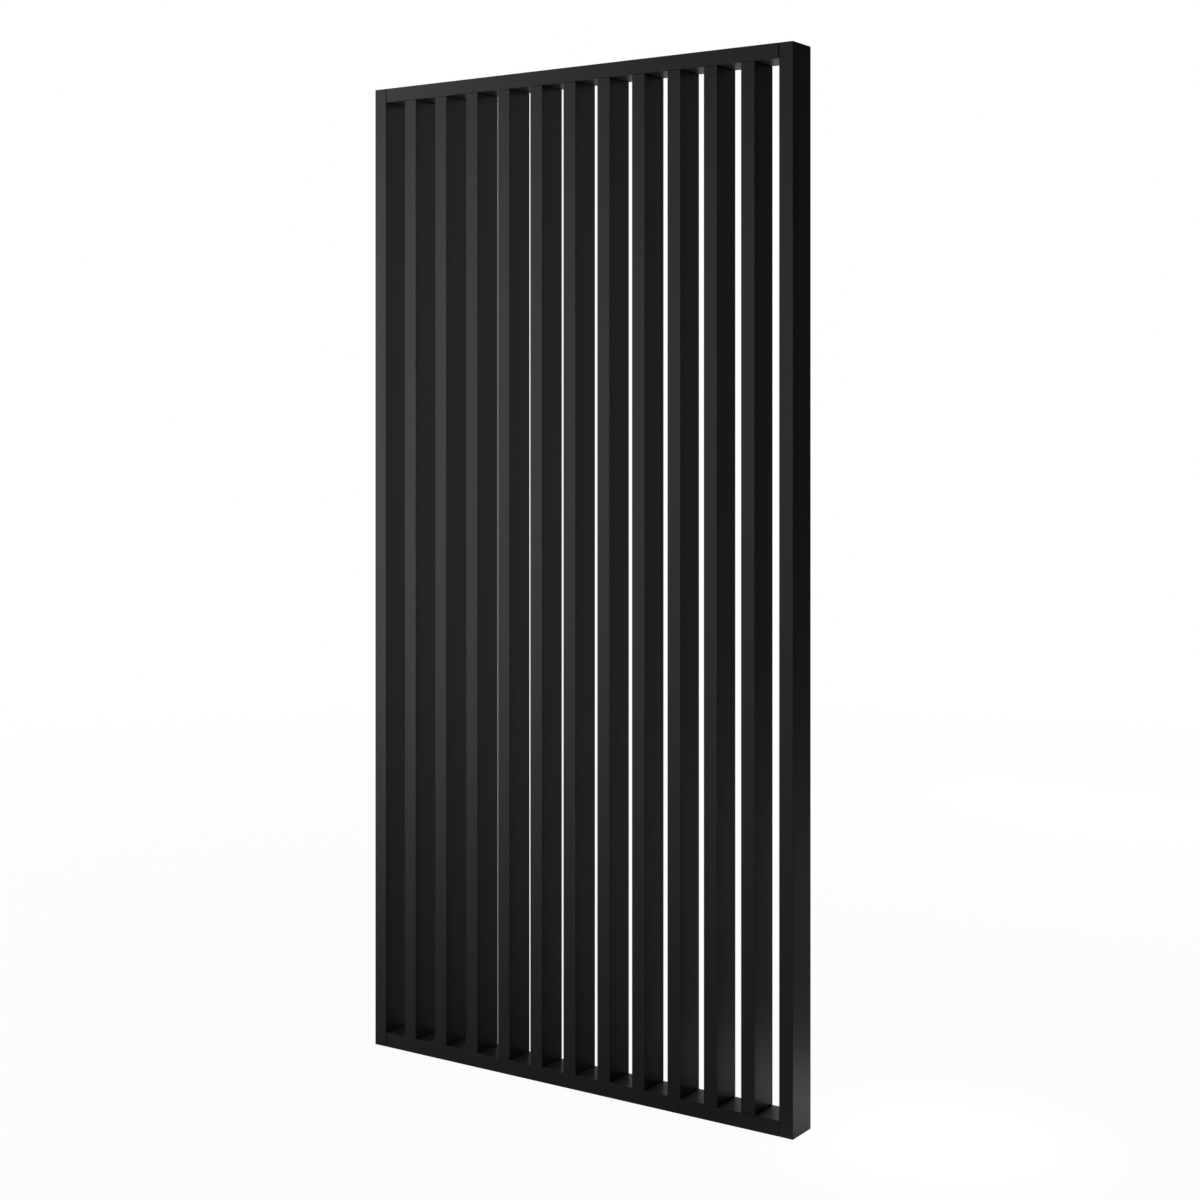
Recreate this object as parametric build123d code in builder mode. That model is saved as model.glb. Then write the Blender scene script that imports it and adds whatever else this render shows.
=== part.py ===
from build123d import *
import os

# Slatted room divider: a tall frame of two stiles and two rails with a row of upright slats.
# Millimetres. The origin is at the middle of the footprint, on the floor.
# X runs along the panel to the right, the front faces -Y, and Z is up.

# Whole panel
panel_width = 1236.0
panel_height = 2500.0
panel_depth = 86.0

# Boards, all as deep as the panel
stile_width = 36.0
rail_thickness = 36.0
slat_width = 36.0
slat_count = 11
edge_bevel = 2.0

# Stub tenons on both ends of each slat, in blind mortises in the rails
tenon_thickness = 12.0
tenon_edge_distance = 18.0
tenon_length = 12.0
tenon_bevel = 1.0
tenon_clearance = 0.1
tenon_end_clearance = 0.8

# Dowels, half in the rail's end and half in the stile
dowel_diameter = 8.0
dowel_length = 40.0
dowel_edge_distance = 18.0
dowel_bevel = 1.0

# Quarter-turn cams in the rails, and the bolts that they pull
cam_diameter = 15.0
cam_distance = 34.0
cam_recess = 0.5
cam_floor = 4.5
cam_back = 4.0
cam_slot_width = 1.6
cam_slot_length = 9.0
cam_slot_depth = 2.5
bolt_thread_diameter = 6.0
bolt_thread_length = 11.0
bolt_collar_diameter = 7.6
bolt_collar_length = 2.0
bolt_shank_diameter = 5.5
bolt_neck_diameter = 4.0
bolt_neck_length = 6.0
bolt_head_diameter = 7.0
bolt_head_length = 4.0
bolt_bevel = 0.8
bolt_passage_diameter = 8.0

# Clearances of the drilled holes
drill_clearance = 0.1
drill_end_clearance = 1.0

# Places that follow from the sizes
rail_length = panel_width - 2 * stile_width
slat_length = panel_height - 2 * rail_thickness
slat_gap = (rail_length - slat_count * slat_width) / (slat_count + 1)
slat_pitch = slat_gap + slat_width
slat_span = (slat_count - 1) * slat_pitch
stile_inner_face = rail_length / 2
tenon_width = panel_depth - 2 * tenon_edge_distance
dowel_spacing = panel_depth - 2 * dowel_edge_distance
cam_place = stile_inner_face - cam_distance
bolt_axis_depth = rail_thickness / 2
cam_height = bolt_axis_depth + cam_floor - cam_recess

os.makedirs("parts", exist_ok=True)

# Each rail is laid out from its hidden outer face, on the ceiling side or the floor side.
ceiling_face = Plane(origin=(0, 0, panel_height), x_dir=(1, 0, 0), z_dir=(0, 0, 1))
floor_face = Plane(origin=(0, 0, 0), x_dir=(1, 0, 0), z_dir=(0, 0, -1))
rail_faces = {"top_rail": ceiling_face, "bottom_rail": floor_face}
rail_middles = (panel_height - rail_thickness / 2, rail_thickness / 2)


def joint_plane(side, height, towards):
    """Upright plane of a butt joint, facing the panel's middle (-side) or its edge (side)."""
    return Plane(origin=(side * stile_inner_face, 0, height), x_dir=(0, 1, 0), z_dir=(towards, 0, 0))


# Stiles: full-height boards, drilled on the inner face for dowels and cam bolts
for stile_name, side in (("left_stile", -1), ("right_stile", 1)):
    with BuildPart() as stile:
        with BuildSketch():
            with Locations((side * (panel_width - stile_width) / 2, 0)):
                Rectangle(stile_width, panel_depth)
        extrude(amount=panel_height)
        chamfer(stile.edges(), length=edge_bevel)
        for height in rail_middles:
            with Locations(joint_plane(side, height, -side)):
                Hole(bolt_thread_diameter / 2 + drill_clearance, bolt_thread_length + drill_end_clearance)
                with GridLocations(dowel_spacing, 0, 2, 1):
                    Hole(dowel_diameter / 2 + drill_clearance, dowel_length / 2 + drill_end_clearance)
    stile.part.label = stile_name
    export_step(stile.part, f"parts/{stile_name}.step")

# Rails: boards between the stiles, with a row of mortises for the slats and bores for the cams
for rail_name, outer_face in rail_faces.items():
    with BuildPart() as rail:
        with BuildSketch(outer_face):
            Rectangle(rail_length, panel_depth)
        extrude(amount=-rail_thickness)
        chamfer(rail.edges(), length=edge_bevel)
        with BuildSketch(outer_face.offset(-rail_thickness)):
            with GridLocations(slat_pitch, 0, slat_count, 1):
                Rectangle(tenon_thickness + 2 * tenon_clearance, tenon_width + 2 * tenon_clearance)
        extrude(amount=tenon_length + tenon_end_clearance, mode=Mode.SUBTRACT)
        with Locations(outer_face):
            with PolarLocations(cam_place, 2):
                Hole(cam_diameter / 2 + drill_clearance, cam_recess + cam_height + drill_end_clearance)
        rail_middle = outer_face.offset(-rail_thickness / 2).origin.Z
        for side in (-1, 1):
            with Locations(joint_plane(side, rail_middle, side)):
                Hole(bolt_passage_diameter / 2, cam_distance)
                with GridLocations(dowel_spacing, 0, 2, 1):
                    Hole(dowel_diameter / 2 + drill_clearance, dowel_length / 2 + drill_end_clearance)
    rail.part.label = rail_name
    export_step(rail.part, f"parts/{rail_name}.step")

# Slats: upright boards whose bevelled shoulders seat on the rails, with a stub tenon at each end
for number in range(1, slat_count + 1):
    slat_name = f"slat_{number:02d}"
    slat_place = -slat_span / 2 + (number - 1) * slat_pitch
    with BuildPart() as slat:
        with BuildSketch(Plane.XY.offset(rail_thickness)):
            with Locations((slat_place, 0)):
                Rectangle(slat_width, panel_depth)
        extrude(amount=slat_length)
        chamfer(slat.edges(), length=edge_bevel)
        for outer_face in rail_faces.values():
            with BuildSketch(outer_face.offset(-rail_thickness)):
                with Locations((slat_place, 0)):
                    Rectangle(tenon_thickness, tenon_width)
            extrude(amount=tenon_length)
        tenon_ends = slat.faces().sort_by(Axis.Z)[0].edges() + slat.faces().sort_by(Axis.Z)[-1].edges()
        chamfer(tenon_ends, length=tenon_bevel)
    slat.part.label = slat_name
    export_step(slat.part, f"parts/{slat_name}.step")

# Corner dowels, two to each butt joint
with BuildPart() as corner_dowels:
    for height in rail_middles:
        for side in (-1, 1):
            with Locations(joint_plane(side, height, side)):
                with GridLocations(dowel_spacing, 0, 2, 1):
                    Cylinder(dowel_diameter / 2, dowel_length)
    chamfer(corner_dowels.edges().filter_by(GeomType.CIRCLE), length=dowel_bevel)
corner_dowels.part.label = "corner_dowels"
export_step(corner_dowels.part, "parts/corner_dowels.step")

# One cam, its driven end at the origin and the bolt coming from +X
bolt_level_in_cam = cam_recess - bolt_axis_depth
hook_wall = bolt_head_length / 2 + drill_clearance
with BuildPart() as cam:
    Cylinder(cam_diameter / 2, cam_height, align=(Align.CENTER, Align.CENTER, Align.MAX))
    with BuildSketch(Plane.XY.offset(bolt_level_in_cam)):
        with Locations(((hook_wall - cam_back) / 2, 0)):
            Rectangle(cam_back + hook_wall, bolt_head_diameter + 2 * drill_clearance)
    extrude(amount=bolt_head_diameter / 2 + drill_clearance, both=True, mode=Mode.SUBTRACT)
    with BuildSketch(Plane.XY.offset(bolt_level_in_cam)):
        Rectangle(cam_diameter, bolt_neck_diameter + 2 * drill_clearance, align=(Align.MIN, Align.CENTER))
    extrude(amount=bolt_neck_diameter / 2 + drill_clearance, both=True, mode=Mode.SUBTRACT)
    with BuildSketch():
        Rectangle(cam_slot_length, cam_slot_width)
        Rectangle(cam_slot_width, cam_slot_length)
    extrude(amount=-cam_slot_depth, mode=Mode.SUBTRACT)

# The corner cams, let into the rails' hidden faces
with BuildPart() as corner_cams:
    for outer_face in rail_faces.values():
        with Locations(outer_face.offset(-cam_recess)):
            with PolarLocations(cam_place, 2):
                add(cam.part)
corner_cams.part.label = "corner_cams"
export_step(corner_cams.part, "parts/corner_cams.step")

# One cam bolt along X, its thread in the stile at +X and its head at the cam's axis
head_end = -cam_distance - bolt_head_length / 2
neck_start = head_end + bolt_head_length
neck_end = neck_start + bolt_neck_length
with BuildPart() as cam_bolt:
    with BuildSketch(Plane.XZ):
        with BuildLine():
            Polyline(
                (head_end, 0),
                (head_end, bolt_head_diameter / 2),
                (neck_start, bolt_head_diameter / 2),
                (neck_start, bolt_neck_diameter / 2),
                (neck_end, bolt_neck_diameter / 2),
                (neck_end, bolt_shank_diameter / 2),
                (-bolt_collar_length, bolt_shank_diameter / 2),
                (-bolt_collar_length, bolt_collar_diameter / 2),
                (0, bolt_collar_diameter / 2),
                (0, bolt_thread_diameter / 2),
                (bolt_thread_length - bolt_bevel, bolt_thread_diameter / 2),
                (bolt_thread_length, bolt_thread_diameter / 2 - bolt_bevel),
                (bolt_thread_length, 0),
                close=True,
            )
        make_face()
    revolve(axis=Axis.X)

# The cam bolts, one from each stile at each rail
with BuildPart() as cam_bolts:
    for height in rail_middles:
        with Locations(Plane.XY.offset(height)):
            with PolarLocations(stile_inner_face, 2):
                add(cam_bolt.part)
cam_bolts.part.label = "cam_bolts"
export_step(cam_bolts.part, "parts/cam_bolts.step")
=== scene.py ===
import math
import bmesh
import bpy
from mathutils import Matrix, Vector


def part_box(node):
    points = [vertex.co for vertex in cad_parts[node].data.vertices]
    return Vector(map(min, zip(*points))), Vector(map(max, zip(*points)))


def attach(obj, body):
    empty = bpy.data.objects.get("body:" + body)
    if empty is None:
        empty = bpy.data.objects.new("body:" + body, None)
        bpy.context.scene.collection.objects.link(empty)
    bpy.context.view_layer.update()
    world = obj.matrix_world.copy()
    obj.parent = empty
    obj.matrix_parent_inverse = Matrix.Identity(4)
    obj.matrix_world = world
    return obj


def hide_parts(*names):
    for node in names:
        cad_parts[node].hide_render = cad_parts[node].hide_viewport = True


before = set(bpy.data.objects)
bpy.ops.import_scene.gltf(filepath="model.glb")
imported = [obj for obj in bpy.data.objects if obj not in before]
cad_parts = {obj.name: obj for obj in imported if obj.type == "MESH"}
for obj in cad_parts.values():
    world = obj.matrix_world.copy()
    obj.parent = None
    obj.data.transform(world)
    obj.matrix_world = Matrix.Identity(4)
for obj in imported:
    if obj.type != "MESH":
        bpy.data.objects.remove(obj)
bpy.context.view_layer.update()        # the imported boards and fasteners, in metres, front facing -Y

print("frame loaded:", len(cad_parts), "nodes")

uprightNames = [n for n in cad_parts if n.endswith("_stile") or n.startswith("slat_")]
railNames = [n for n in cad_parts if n.endswith("_rail")]


# camera: level, at eye height, so that the boards stand upright in the picture
photoView = {
    "pictureSide": 1200.0,          # pixels, the picture is square
    "focalLength": 1982.0,          # pixels
    "horizonRow": 414.45,           # pixels from the top
    "sensorWidth": 36.0,            # millimetres
    "place": (2.7567, -4.0348, 1.6501),
    "turn": 33.744,                 # degrees to the left of straight ahead
    "farthest": 200.0,              # metres, what lies beyond isn't drawn
}


def makeCamera(v):
    lensData = bpy.data.cameras.new("photoCamera")
    lensData.sensor_width = v["sensorWidth"]
    lensData.lens = v["sensorWidth"] * v["focalLength"] / v["pictureSide"]
    lensData.shift_y = (v["horizonRow"] - v["pictureSide"] / 2) / v["pictureSide"]
    lensData.clip_end = v["farthest"]
    camera = bpy.data.objects.new("photoCamera", lensData)
    camera.location = v["place"]
    camera.rotation_euler = (math.radians(90), 0, math.radians(v["turn"]))
    bpy.context.scene.collection.objects.link(camera)
    bpy.context.scene.camera = camera


makeCamera(photoView)
print("camera set")


# small helpers for node trees
def newMaterial(name):
    material = bpy.data.materials.new(name)
    material.use_nodes = True
    tree = material.node_tree
    shader = tree.nodes["Principled BSDF"]
    return material, tree, shader


def node(tree, kind, **settings):
    made = tree.nodes.new(kind)
    for key, value in settings.items():
        setattr(made, key, value)
    return made


# a value goes into a socket as a fixed number or colour, or as a link
def feed(tree, value, socket):
    if isinstance(value, bpy.types.NodeSocket):
        tree.links.new(value, socket)
    else:
        socket.default_value = value


def noise(tree, vector, scale, detail, stretch=(1, 1, 1)):
    spread = node(tree, "ShaderNodeMapping")
    spread.inputs["Scale"].default_value = stretch
    tree.links.new(vector, spread.inputs["Vector"])
    texture = node(tree, "ShaderNodeTexNoise")
    texture.inputs["Scale"].default_value = scale
    texture.inputs["Detail"].default_value = detail
    tree.links.new(spread.outputs["Vector"], texture.inputs["Vector"])
    return texture.outputs["Fac"]


# noise rarely leaves the middle range, so that is what is spread from low to high
def remap(tree, value, low, high, fromLow=0.3, fromHigh=0.7):
    made = node(tree, "ShaderNodeMapRange")
    made.inputs["From Min"].default_value = fromLow
    made.inputs["From Max"].default_value = fromHigh
    made.inputs["To Min"].default_value = low
    made.inputs["To Max"].default_value = high
    tree.links.new(value, made.inputs["Value"])
    return made.outputs["Result"]


def blendColours(tree, factor, low, high):
    mix = node(tree, "ShaderNodeMix", data_type="RGBA")
    tree.links.new(factor, mix.inputs["Factor"])
    for colour, side in ((low, "A"), (high, "B")):
        feed(tree, (*colour, 1) if isinstance(colour, tuple) else colour, mix.inputs[side])
    return mix.outputs["Result"]


def bump(tree, height, distance, under=None):
    made = node(tree, "ShaderNodeBump")
    made.inputs["Distance"].default_value = distance
    tree.links.new(height, made.inputs["Height"])
    if under:
        tree.links.new(under, made.inputs["Normal"])
    return made.outputs["Normal"]


# black lacquer on the boards: fine spray texture over faintly telegraphed grain,
# smoother on the eased edges, where the colour is darkened to near black as painted shade
blackLacquer = {
    "colour": (0.0078, 0.0078, 0.0079),
    "colourLow": (0.0062, 0.0062, 0.0063),
    # painted shade: the near-black colour given to the eased edges in place of their shading
    "paintedEdgeShadeColour": (0.0012, 0.0012, 0.0013),
    "edgeShadeAndRubShare": (0.85, 1.0),
    "roughLow": 0.38,
    "roughHigh": 0.42,
    "rubbedRough": 0.16,
    "gloss": 0.2,
    "sprayScale": 900.0,
    "sprayDetail": 2.0,
    "sprayHeight": 0.00002,
    "grainScale": 60.0,
    "grainDetail": 6.0,
    "grainStretch": 0.04,
    "grainHeight": 0.00003,
    "shadeAndRubScale": 14.0,
    "shadeAndRubDetail": 4.0,
}


def makeLacquer(name, lengthAxis, p):
    material, tree, shader = newMaterial(name)
    link = tree.links.new
    place = node(tree, "ShaderNodeTexCoord").outputs["Object"]
    stretch = [1.0, 1.0, 1.0]
    stretch[lengthAxis] = p["grainStretch"]
    grain = noise(tree, place, p["grainScale"], p["grainDetail"], stretch)
    spray = noise(tree, place, p["sprayScale"], p["sprayDetail"])
    shadeAndRubNoise = noise(tree, place, p["shadeAndRubScale"], p["shadeAndRubDetail"])
    onEdge = node(tree, "ShaderNodeAttribute", attribute_name="easedEdge").outputs["Fac"]
    # painted shade on the eased edges: the colour goes to near black there, and the roughness also drops
    edgeShadeAndRub = node(tree, "ShaderNodeMath", operation="MULTIPLY")
    link(onEdge, edgeShadeAndRub.inputs[0])
    link(remap(tree, shadeAndRubNoise, *p["edgeShadeAndRubShare"]), edgeShadeAndRub.inputs[1])
    coat = blendColours(tree, grain, p["colourLow"], p["colour"])
    link(blendColours(tree, edgeShadeAndRub.outputs["Value"], coat, p["paintedEdgeShadeColour"]), shader.inputs["Base Color"])
    rough = node(tree, "ShaderNodeMix")
    link(edgeShadeAndRub.outputs["Value"], rough.inputs["Factor"])
    link(remap(tree, grain, p["roughLow"], p["roughHigh"]), rough.inputs["A"])
    rough.inputs["B"].default_value = p["rubbedRough"]
    link(rough.outputs["Result"], shader.inputs["Roughness"])
    grainBump = bump(tree, grain, p["grainHeight"])
    link(bump(tree, spray, p["sprayHeight"], grainBump), shader.inputs["Normal"])
    shader.inputs["Specular IOR Level"].default_value = p["gloss"]
    return material


# zinc of the cams, as it leaves the tumbling barrel
castZinc = {
    "colour": (0.46, 0.46, 0.47),
    "colourLow": (0.36, 0.36, 0.37),
    "roughLow": 0.38,
    "roughHigh": 0.55,
    "mottleScale": 500.0,
    "mottleDetail": 4.0,
    "pitScale": 2600.0,
    "pitDetail": 3.0,
    "pitHeight": 0.00004,
}


def makeCastZinc(p):
    material, tree, shader = newMaterial("castZinc")
    link = tree.links.new
    place = node(tree, "ShaderNodeTexCoord").outputs["Object"]
    mottle = noise(tree, place, p["mottleScale"], p["mottleDetail"])
    pits = noise(tree, place, p["pitScale"], p["pitDetail"])
    link(blendColours(tree, mottle, p["colourLow"], p["colour"]), shader.inputs["Base Color"])
    link(remap(tree, mottle, p["roughLow"], p["roughHigh"]), shader.inputs["Roughness"])
    link(bump(tree, pits, p["pitHeight"]), shader.inputs["Normal"])
    shader.inputs["Metallic"].default_value = 1.0
    return material


# bright zinc plate on the turned bolts, with the lathe's fine rings
zincPlate = {
    "colour": (0.66, 0.66, 0.63),
    "colourLow": (0.56, 0.57, 0.58),
    "roughLow": 0.22,
    "roughHigh": 0.34,
    "cloudScale": 300.0,
    "cloudDetail": 3.0,
    "ringScale": 2500.0,
    "ringWaver": 0.5,
    "ringHeight": 0.00001,
}


def makeZincPlate(p):
    material, tree, shader = newMaterial("zincPlate")
    link = tree.links.new
    place = node(tree, "ShaderNodeTexCoord").outputs["Object"]
    cloud = noise(tree, place, p["cloudScale"], p["cloudDetail"])
    rings = node(tree, "ShaderNodeTexWave", wave_type="BANDS", bands_direction="X")
    rings.inputs["Scale"].default_value = p["ringScale"]
    rings.inputs["Distortion"].default_value = p["ringWaver"]
    link(place, rings.inputs["Vector"])
    link(blendColours(tree, cloud, p["colourLow"], p["colour"]), shader.inputs["Base Color"])
    link(remap(tree, cloud, p["roughLow"], p["roughHigh"]), shader.inputs["Roughness"])
    link(bump(tree, rings.outputs["Fac"], p["ringHeight"]), shader.inputs["Normal"])
    shader.inputs["Metallic"].default_value = 1.0
    return material


# bare beech of the dowels, with its short dark flecks along the grain
bareBeech = {
    "colour": (0.66, 0.46, 0.29),
    "colourLow": (0.56, 0.37, 0.22),
    "fleckColour": (0.36, 0.21, 0.11),
    "roughLow": 0.58,
    "roughHigh": 0.72,
    "grainScale": 900.0,
    "grainDetail": 4.0,
    "grainStretch": 0.06,
    "fleckScale": 1500.0,
    "fleckDetail": 2.0,
    "fleckStretch": 0.12,
    "fleckFrom": 0.62,
    "fleckTo": 0.70,
    "grainHeight": 0.00003,
}


def makeBeech(p):
    material, tree, shader = newMaterial("bareBeech")
    link = tree.links.new
    place = node(tree, "ShaderNodeTexCoord").outputs["Object"]
    grain = noise(tree, place, p["grainScale"], p["grainDetail"], (p["grainStretch"], 1, 1))
    fleck = noise(tree, place, p["fleckScale"], p["fleckDetail"], (p["fleckStretch"], 1, 1))
    flecked = remap(tree, fleck, 0.0, 1.0, p["fleckFrom"], p["fleckTo"])
    wood = blendColours(tree, grain, p["colourLow"], p["colour"])
    link(blendColours(tree, flecked, wood, p["fleckColour"]), shader.inputs["Base Color"])
    link(remap(tree, grain, p["roughLow"], p["roughHigh"]), shader.inputs["Roughness"])
    link(bump(tree, grain, p["grainHeight"]), shader.inputs["Normal"])
    return material


uprightLacquer = makeLacquer("blackLacquerUpright", 2, blackLacquer)
railLacquer = makeLacquer("blackLacquerRail", 0, blackLacquer)
camZinc = makeCastZinc(castZinc)
boltZinc = makeZincPlate(zincPlate)
dowelBeech = makeBeech(bareBeech)
print("finishes mixed")


sharpFrom = 30      # degrees between two faces; the shading breaks there


# every piece is linked, smoothed, dressed and put under the root body, and the imported parts it stands
# for are hidden
def addPiece(name, shape, material, slotName, *nodeNames):
    bmesh.ops.recalc_face_normals(shape, faces=shape.faces)
    for face in shape.faces:
        face.smooth = True
    for edge in shape.edges:
        edge.smooth = edge.calc_face_angle(0.0) < math.radians(sharpFrom)
    mesh = bpy.data.meshes.new(name)
    shape.to_mesh(mesh)
    shape.free()
    mesh.materials.append(material)
    piece = bpy.data.objects.new(name, mesh)
    bpy.context.scene.collection.objects.link(piece)
    flats = piece.modifiers.new("flatFaces", "WEIGHTED_NORMAL")
    flats.keep_sharp = True
    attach(piece, "root")
    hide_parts(*nodeNames)
    return piece


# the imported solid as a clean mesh: welded (in metres), and one face where it is flat (in degrees)
def cleanShape(nodeName, weldWithin=0.000001, flatWithin=0.5):
    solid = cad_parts[nodeName].data
    shape = bmesh.new()
    corners = [shape.verts.new(v.co) for v in solid.vertices]
    for face in solid.polygons:
        shape.faces.new([corners[i] for i in face.vertices])
    bmesh.ops.remove_doubles(shape, verts=shape.verts, dist=weldWithin)
    bmesh.ops.dissolve_limit(
        shape, angle_limit=math.radians(flatWithin), verts=shape.verts, edges=shape.edges)
    return shape


def roundEdges(shape, edges, radius, facets):
    bmesh.ops.bevel(
        shape, geom=edges, offset=radius, offset_type="OFFSET", segments=facets,
        profile=0.5, affect="EDGES", clamp_overlap=True)


# boards: the rails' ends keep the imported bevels, for a clear groove at the joints, and the other edges
# are drawn finer. The lacquer rounds the arris where a bevel meets a face.
boardEdge = {
    "packedBevel": 0.002,
    "railEndBevel": 0.002,
    "slatEndBevel": 0.0008,
    "longBevel": 0.0004,    # also on the stiles' ends
    "near": 0.000001,       # how close counts as on the bevel's line
    "radius": 0.0001,
    "facets": 2,
    "angles": (30, 50),     # degrees between the faces; the crisp mortises and bores meet at more
    "flatFrom": 0.999,      # a face that leans more than this from square is part of an eased edge
}


# a board's corners without the tenons: the slats' shoulders stand on the rails
def bodyCorners(nodeName):
    low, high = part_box(nodeName)
    if nodeName.startswith("slat_"):
        low.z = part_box("bottom_rail")[1].z
        high.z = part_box("top_rail")[0].z
    return low, high


def endBevel(nodeName, p):
    if nodeName in railNames:
        return p["railEndBevel"]
    return p["slatEndBevel"] if nodeName.startswith("slat_") else p["longBevel"]


def makeBoard(nodeName, lacquer, p):
    shape = cleanShape(nodeName)
    low, high = bodyCorners(nodeName)
    lengthAxis = 0 if nodeName in railNames else 2
    atEnd = endBevel(nodeName, p)
    for v in shape.verts:
        onEnd = min(abs(v.co[lengthAxis] - end[lengthAxis]) for end in (low, high)) < p["near"]
        for axis in range(3):
            drawn = atEnd if onEnd or axis == lengthAxis else p["longBevel"]
            for plane, inward in ((low[axis], 1), (high[axis], -1)):
                if abs(v.co[axis] - plane - inward * p["packedBevel"]) < p["near"]:
                    v.co[axis] = plane + inward * drawn
    least, most = (math.radians(a) for a in p["angles"])
    arrises = [e for e in shape.edges if least < e.calc_face_angle(0.0) < most]
    roundEdges(shape, arrises, p["radius"], p["facets"])
    board = addPiece(nodeName.replace("_", "-") + "-board", shape, lacquer, "black_board", nodeName)
    eased = board.data.attributes.new("easedEdge", "FLOAT", "FACE")
    for face, mark in zip(board.data.polygons, eased.data):
        mark.value = 0.0 if max(abs(c) for c in face.normal) > p["flatFrom"] else 1.0


for nodeName in uprightNames:
    makeBoard(nodeName, uprightLacquer, boardEdge)
for nodeName in railNames:
    makeBoard(nodeName, railLacquer, boardEdge)
print("boards made:", len(uprightNames) + len(railNames))


# a turned piece along X: each row is a place and a radius, which may change round the turn
def turnedShape(rows, sides):
    shape = bmesh.new()
    rings = []
    for x, radiusAt in rows:
        ring = []
        for i in range(sides):
            turn = i / sides
            radius = radiusAt(turn) if callable(radiusAt) else radiusAt
            angle = 2 * math.pi * turn
            ring.append(shape.verts.new((x, radius * math.cos(angle), radius * math.sin(angle))))
        rings.append(ring)
    for one, two in zip(rings, rings[1:]):
        for i in range(sides):
            shape.faces.new((one[i - 1], one[i], two[i], two[i - 1]))
    shape.faces.new(rings[0])
    shape.faces.new(rings[-1])
    return shape


# where the rails meet the stiles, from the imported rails
def jointPlaces():
    places = []
    for nodeName in railNames:
        low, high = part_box(nodeName)
        middle = (low[2] + high[2]) / 2
        places.append((Vector((low[0], 0, middle)), -1))
        places.append((Vector((high[0], 0, middle)), 1))
    return places


# a shape made with the stile on +X, turned to the left stile where side is -1
def placeShape(shape, place, side):
    turned = Matrix.Rotation(0 if side > 0 else math.pi, 4, "Z")
    bmesh.ops.transform(shape, matrix=Matrix.Translation(place) @ turned, verts=shape.verts)


# cam bolts: a wood thread in the stile, a collar on it, and a thin neck to the head that the cam hooks
camBolt = {
    "sides": 40,
    "threadLength": 0.011,
    "threadCrest": 0.003,
    "threadRoot": 0.0021,
    "threadPitch": 0.0022,
    "threadSteps": 14,          # rows to a pitch
    "ridgeShare": 0.5,          # of the pitch
    "tipLength": 0.0016,
    "tipShare": 0.6,            # of the root's radius, at the very tip
    "collarRadius": 0.0038,
    "collarLength": 0.002,
    "shankRadius": 0.00275,
    "neckRadius": 0.002,
    "neckStart": -0.026,
    "headRadius": 0.0035,
    "headStart": -0.032,
    "headEnd": -0.036,
    "edgeRound": 0.0003,
    "recessRadius": 0.0022,
    "recessWaist": 0.0009,
    "recessDepth": 0.0015,
    "recessFoot": 0.5,          # of the recess's width at its mouth
    "recessLip": 0.95,
    "armNarrowness": 6,         # the higher, the narrower the cross's arms
}


def threadRow(x, p):
    taper = min(1.0, (p["threadLength"] - x) / p["tipLength"])
    root = p["threadRoot"] * (p["tipShare"] + (1 - p["tipShare"]) * taper)

    def radiusAt(turn):
        along = (x / p["threadPitch"] - turn) % 1.0
        ridge = max(0.0, 1.0 - abs(along - 0.5) * 2 / p["ridgeShare"])
        return root + (p["threadCrest"] - p["threadRoot"]) * ridge * taper

    return (x, radiusAt)


def crossRow(x, reach, p):
    def radiusAt(turn):
        arm = abs(math.cos(4 * math.pi * turn)) ** p["armNarrowness"]
        return reach * (p["recessWaist"] + (p["recessRadius"] - p["recessWaist"]) * arm)

    return (x, radiusAt)


# a turned shoulder whose corner is rounded by e: the end face is at endX, the body lies towards inward
def roundedEnd(endX, inward, radius, e):
    steps = [math.radians(a) for a in (90, 60, 30, 0)]
    return [(endX + inward * e * (1 - math.sin(a)), radius - e + e * math.cos(a)) for a in steps]


def boltShape(p):
    e = p["edgeRound"]
    head = p["headEnd"]
    rows = [
        crossRow(head + p["recessDepth"], p["recessFoot"], p),
        crossRow(head + e, p["recessLip"], p),
        crossRow(head, 1.0, p),
        *roundedEnd(head, 1, p["headRadius"], e),
        *reversed(roundedEnd(p["headStart"], -1, p["headRadius"], e)),
        (p["headStart"], p["neckRadius"]),
        (p["neckStart"], p["neckRadius"]),
        *roundedEnd(p["neckStart"], 1, p["shankRadius"], e),
        (-p["collarLength"], p["shankRadius"]),
        *roundedEnd(-p["collarLength"], 1, p["collarRadius"], e),
        *reversed(roundedEnd(0.0, -1, p["collarRadius"], e)),
    ]
    rowCount = round(p["threadLength"] / p["threadPitch"] * p["threadSteps"])
    rows += [threadRow(p["threadLength"] * i / rowCount, p) for i in range(rowCount + 1)]
    return turnedShape(rows, p["sides"])


for number, (place, side) in enumerate(jointPlaces(), 1):
    shape = boltShape(camBolt)
    placeShape(shape, place, side)
    addPiece(f"cam-bolt-{number}", shape, boltZinc, "zinc_steel", "cam_bolts")
print("cam bolts turned")


# corner dowels: straight flutes let the glue out, and the ends are eased to start in the hole
cornerDowel = {
    "radius": 0.004,
    "length": 0.040,
    "endEase": 0.001,
    "flutes": 18,
    "fluteDepth": 0.0003,
    "sidesPerFlute": 6,
}


def dowelShape(p):
    def fluted(turn):
        return p["radius"] - p["fluteDepth"] * max(0.0, math.cos(2 * math.pi * p["flutes"] * turn))

    half = p["length"] / 2
    start = half - p["endEase"]
    eased = p["radius"] - p["endEase"]
    rows = [(-half, eased), (-start, fluted), (start, fluted), (half, eased)]
    return turnedShape(rows, p["flutes"] * p["sidesPerFlute"])


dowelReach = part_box("corner_dowels")[1][1] - cornerDowel["radius"]
dowelNumber = 0
for place, side in jointPlaces():
    for y in (-dowelReach, dowelReach):
        dowelNumber += 1
        shape = dowelShape(cornerDowel)
        placeShape(shape, place + Vector((0, y, 0)), side)
        addPiece(f"corner-dowel-{dowelNumber}", shape, dowelBeech, "beech_dowel", "corner_dowels")
print("dowels fluted:", dowelNumber)


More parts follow.
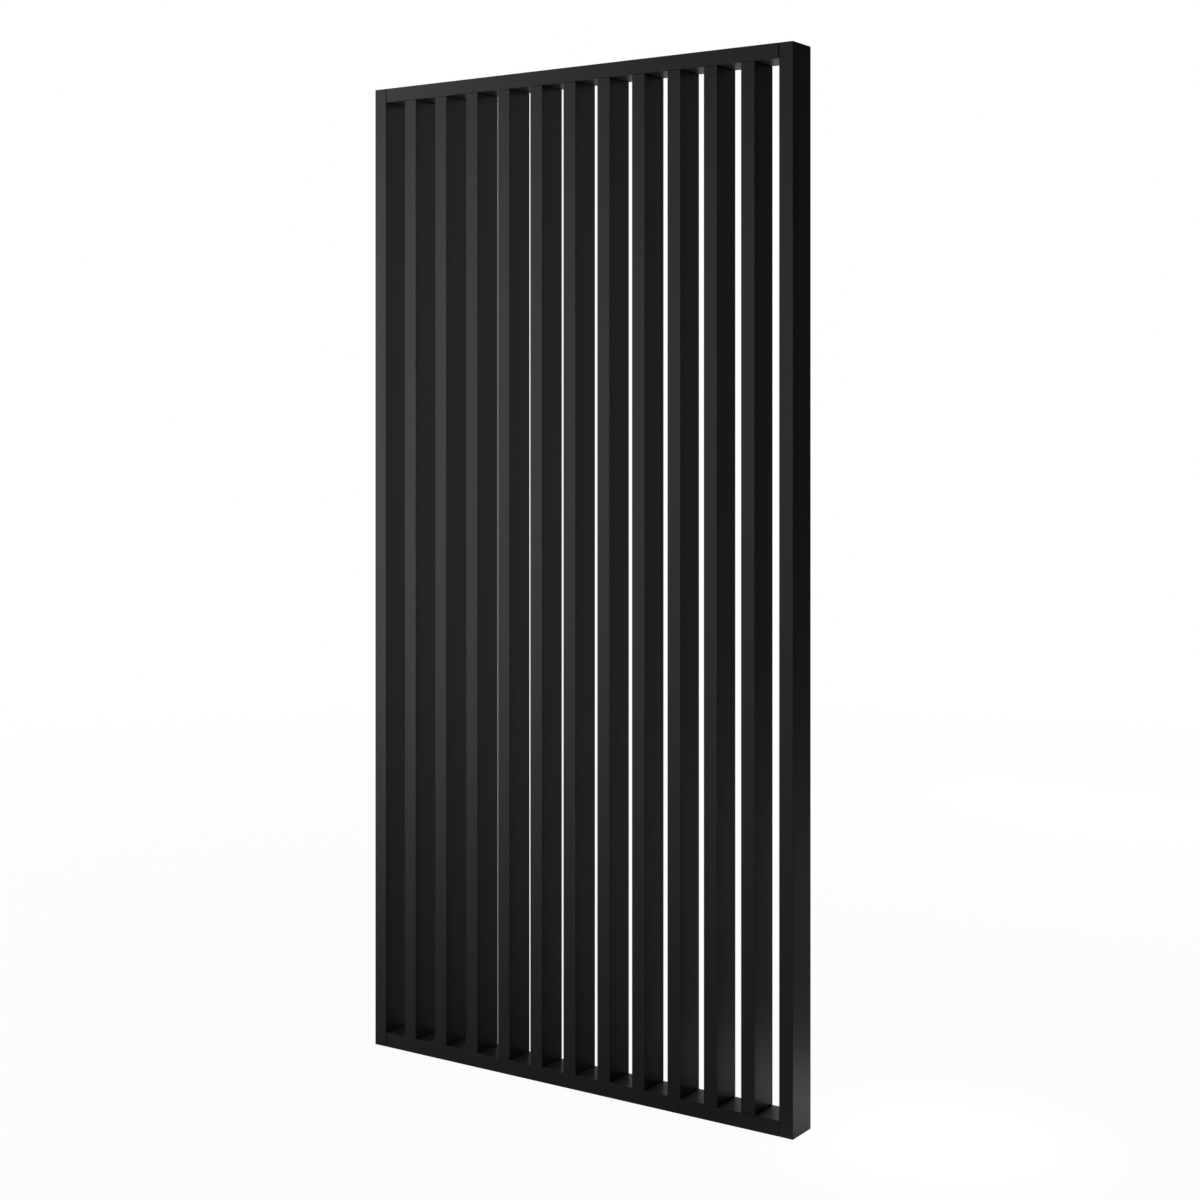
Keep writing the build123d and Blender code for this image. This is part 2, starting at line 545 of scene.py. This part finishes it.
# corner cams: the cast rims are soft, and a raised arrow shows where the bolt comes in
cornerCam = {
    "radius": 0.0075,
    "distance": 0.034,          # from the joint to the cam's axis
    "rimRound": 0.0003,
    "rimFacets": 3,
    "near": 0.00005,            # how close counts as on the rim
    "arrowTip": 0.0070,         # from the cam's axis
    "arrowBack": 0.0053,
    "arrowHalf": 0.0010,
    "arrowHeight": 0.00025,
    "arrowSunk": 0.00005,
}


def addArrow(shape, axis, side, faceZ, outward, p):
    outline = ((p["arrowTip"], 0), (p["arrowBack"], p["arrowHalf"]), (p["arrowBack"], -p["arrowHalf"]))
    levels = (faceZ - outward * p["arrowSunk"], faceZ + outward * p["arrowHeight"])
    rings = [[shape.verts.new((axis + side * x, y, z)) for x, y in outline] for z in levels]
    for i in range(len(outline)):
        shape.faces.new((rings[0][i - 1], rings[0][i], rings[1][i], rings[1][i - 1]))
    for ring in rings:
        shape.faces.new(ring)


def makeCams(p):
    shape = cleanShape("corner_cams")
    low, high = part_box("corner_cams")
    middle = (low[2] + high[2]) / 2
    cams = []
    for place, side in jointPlaces():
        faceZ, outward = (low[2], -1) if place.z < middle else (high[2], 1)
        cams.append((place.x - side * p["distance"], side, faceZ, outward))
    rims = []
    for axis, side, faceZ, outward in cams:
        for edge in shape.edges:
            onFace = all(abs(v.co.z - faceZ) < p["near"] for v in edge.verts)
            reach = [math.hypot(v.co.x - axis, v.co.y) for v in edge.verts]
            if onFace and all(abs(r - p["radius"]) < p["near"] for r in reach):
                rims.append(edge)
    roundEdges(shape, rims, p["rimRound"], p["rimFacets"])
    for axis, side, faceZ, outward in cams:
        addArrow(shape, axis, side, faceZ, outward, p)
    addPiece("corner-cams-cast", shape, camZinc, "cast_zinc", "corner_cams")
    print("cams cast, rim edges softened:", len(rims))


makeCams(cornerCam)


# white shown to the camera, and in small or full shares to the other kinds of ray, over a base level
def whiteShares(tree, base, cameraShare, p):
    seen = node(tree, "ShaderNodeLightPath")
    total = base
    shares = (
        ("Is Camera Ray", cameraShare),
        ("Is Glossy Ray", p["whiteInGloss"]),
        ("Is Transmission Ray", p["whiteInGlass"]),
    )
    for kind, share in shares:
        step = node(tree, "ShaderNodeMath", operation="MULTIPLY_ADD")
        for value, socket in zip((seen.outputs[kind], share, total), step.inputs):
            feed(tree, value, socket)
        total = step.outputs["Value"]
    return total


# pale floor: white to the eye, with the panel's soft shadow kept near it and no line at the horizon
paleFloor = {
    "side": 120.0,
    "drop": 0.0003,             # a hair below the panel's underside
    "colour": (0.8, 0.8, 0.8),
    "rough": 1.0,
    "gloss": 0.0,
    "whiteNear": 0.96,
    "whiteFar": 1.0,
    "fadeFrom": 1.2,            # metres from the panel's middle
    "fadeTo": 7.0,
    "whiteInGloss": 0.02,       # small, so that the black stays deep
    "whiteInGlass": 0.93,
}


def makeFloor(p):
    half = p["side"] / 2
    mesh = bpy.data.meshes.new("paleFloor")
    corners = [(-half, -half, 0), (half, -half, 0), (half, half, 0), (-half, half, 0)]
    mesh.from_pydata(corners, [], [(0, 1, 2, 3)])
    floor = bpy.data.objects.new("paleFloor", mesh)
    floor.location.z = -p["drop"]
    bpy.context.scene.collection.objects.link(floor)
    material, tree, shader = newMaterial("paleFloor")
    shader.inputs["Base Color"].default_value = (*p["colour"], 1)
    shader.inputs["Roughness"].default_value = p["rough"]
    shader.inputs["Specular IOR Level"].default_value = p["gloss"]
    glow = node(tree, "ShaderNodeEmission")
    reach = node(tree, "ShaderNodeVectorMath", operation="LENGTH")
    tree.links.new(node(tree, "ShaderNodeTexCoord").outputs["Object"], reach.inputs[0])
    fade = remap(tree, reach.outputs["Value"], p["whiteNear"], p["whiteFar"], p["fadeFrom"], p["fadeTo"])
    fade.node.interpolation_type = "SMOOTHSTEP"
    both = node(tree, "ShaderNodeMixShader")
    tree.links.new(whiteShares(tree, 0.0, fade, p), both.inputs["Fac"])
    tree.links.new(shader.outputs["BSDF"], both.inputs[1])
    tree.links.new(glow.outputs["Emission"], both.inputs[2])
    tree.links.new(both.outputs["Shader"], tree.nodes["Material Output"].inputs["Surface"])
    mesh.materials.append(material)


makeFloor(paleFloor)


# studio: soft walls of light on a circle about the panel, in a dim surround that is white only as a
# background. A wall's bearing is in degrees from +X, counter-clockwise, and its heights are in metres.
# A sheen wall gives the lacquer a sheen and no other light.
studio = {
    "surround": 0.05,
    "whiteToCamera": 0.95,      # with the surround this makes a full white
    "whiteInGloss": 0.005,      # small, so that the black stays deep
    "whiteInGlass": 0.95,
    "wallDistance": 4.5,
    "wallPower": 4,             # watts to the square metre, at a level of 1
    "walls": (
        {"name": "leftWall", "bearing": 217, "width": 2.4, "low": 0.0, "high": 3.2, "level": 3.2},
        {"name": "leftInnerWall", "bearing": 238, "width": 1.4, "low": 0.0, "high": 3.0, "level": 0.8},
        {"name": "frontWall", "bearing": 262, "width": 2.0, "low": 0.8, "high": 3.5, "level": 1.2},
        {"name": "leftHighWall", "bearing": 215, "width": 2.4, "low": 3.2, "high": 6.0, "level": 1.6},
        {"name": "backWall", "bearing": 90, "width": 1.6, "low": 0.0, "high": 4.0, "level": 4.5},
        {"name": "sheenWall", "bearing": 124, "width": 2.4, "low": 0.0, "high": 0.9, "level": 1.8,
         "sheen": True},
    ),
    "pool": {
        "place": (1.5, -0.3, 3.5),
        "aim": (0.9, 0.15, 0),
        "cone": 14,             # degrees
        "edgeBlend": 1.0,
        "softness": 0.2,
        "power": 840,
    },
}


def addLamp(name, data, place, aim):
    lamp = bpy.data.objects.new(name, data)
    lamp.location = place
    away = Vector(aim) - Vector(place)
    lamp.rotation_euler = away.to_track_quat("-Z", "Y").to_euler()
    lamp.visible_camera = False
    bpy.context.scene.collection.objects.link(lamp)
    return lamp


def makeWall(w, p):
    data = bpy.data.lights.new(w["name"], "AREA")
    data.shape = "RECTANGLE"
    data.size = w["width"]
    data.size_y = w["high"] - w["low"]
    data.energy = p["wallPower"] * w["level"] * data.size * data.size_y
    bearing = math.radians(w["bearing"])
    height = (w["low"] + w["high"]) / 2
    place = (p["wallDistance"] * math.cos(bearing), p["wallDistance"] * math.sin(bearing), height)
    wall = addLamp(w["name"], data, place, (0, 0, height))
    wall.visible_diffuse = not w.get("sheen", False)


def makePool(p):
    data = bpy.data.lights.new("floorPool", "SPOT")
    data.spot_size = math.radians(p["cone"])
    data.spot_blend = p["edgeBlend"]
    data.shadow_soft_size = p["softness"]
    data.energy = p["power"]
    addLamp("floorPool", data, p["place"], p["aim"])


def makeWorld(p):
    world = bpy.data.worlds.new("studio")
    bpy.context.scene.world = world
    world.use_nodes = True
    tree = world.node_tree
    sky = tree.nodes["Background"]
    sky.inputs["Color"].default_value = (1, 1, 1, 1)
    tree.links.new(whiteShares(tree, p["surround"], p["whiteToCamera"], p), sky.inputs["Strength"])


makeWorld(studio)
for wall in studio["walls"]:
    makeWall(wall, studio)
makePool(studio["pool"])
bpy.context.scene.view_settings.view_transform = "Standard"
print("studio lit")
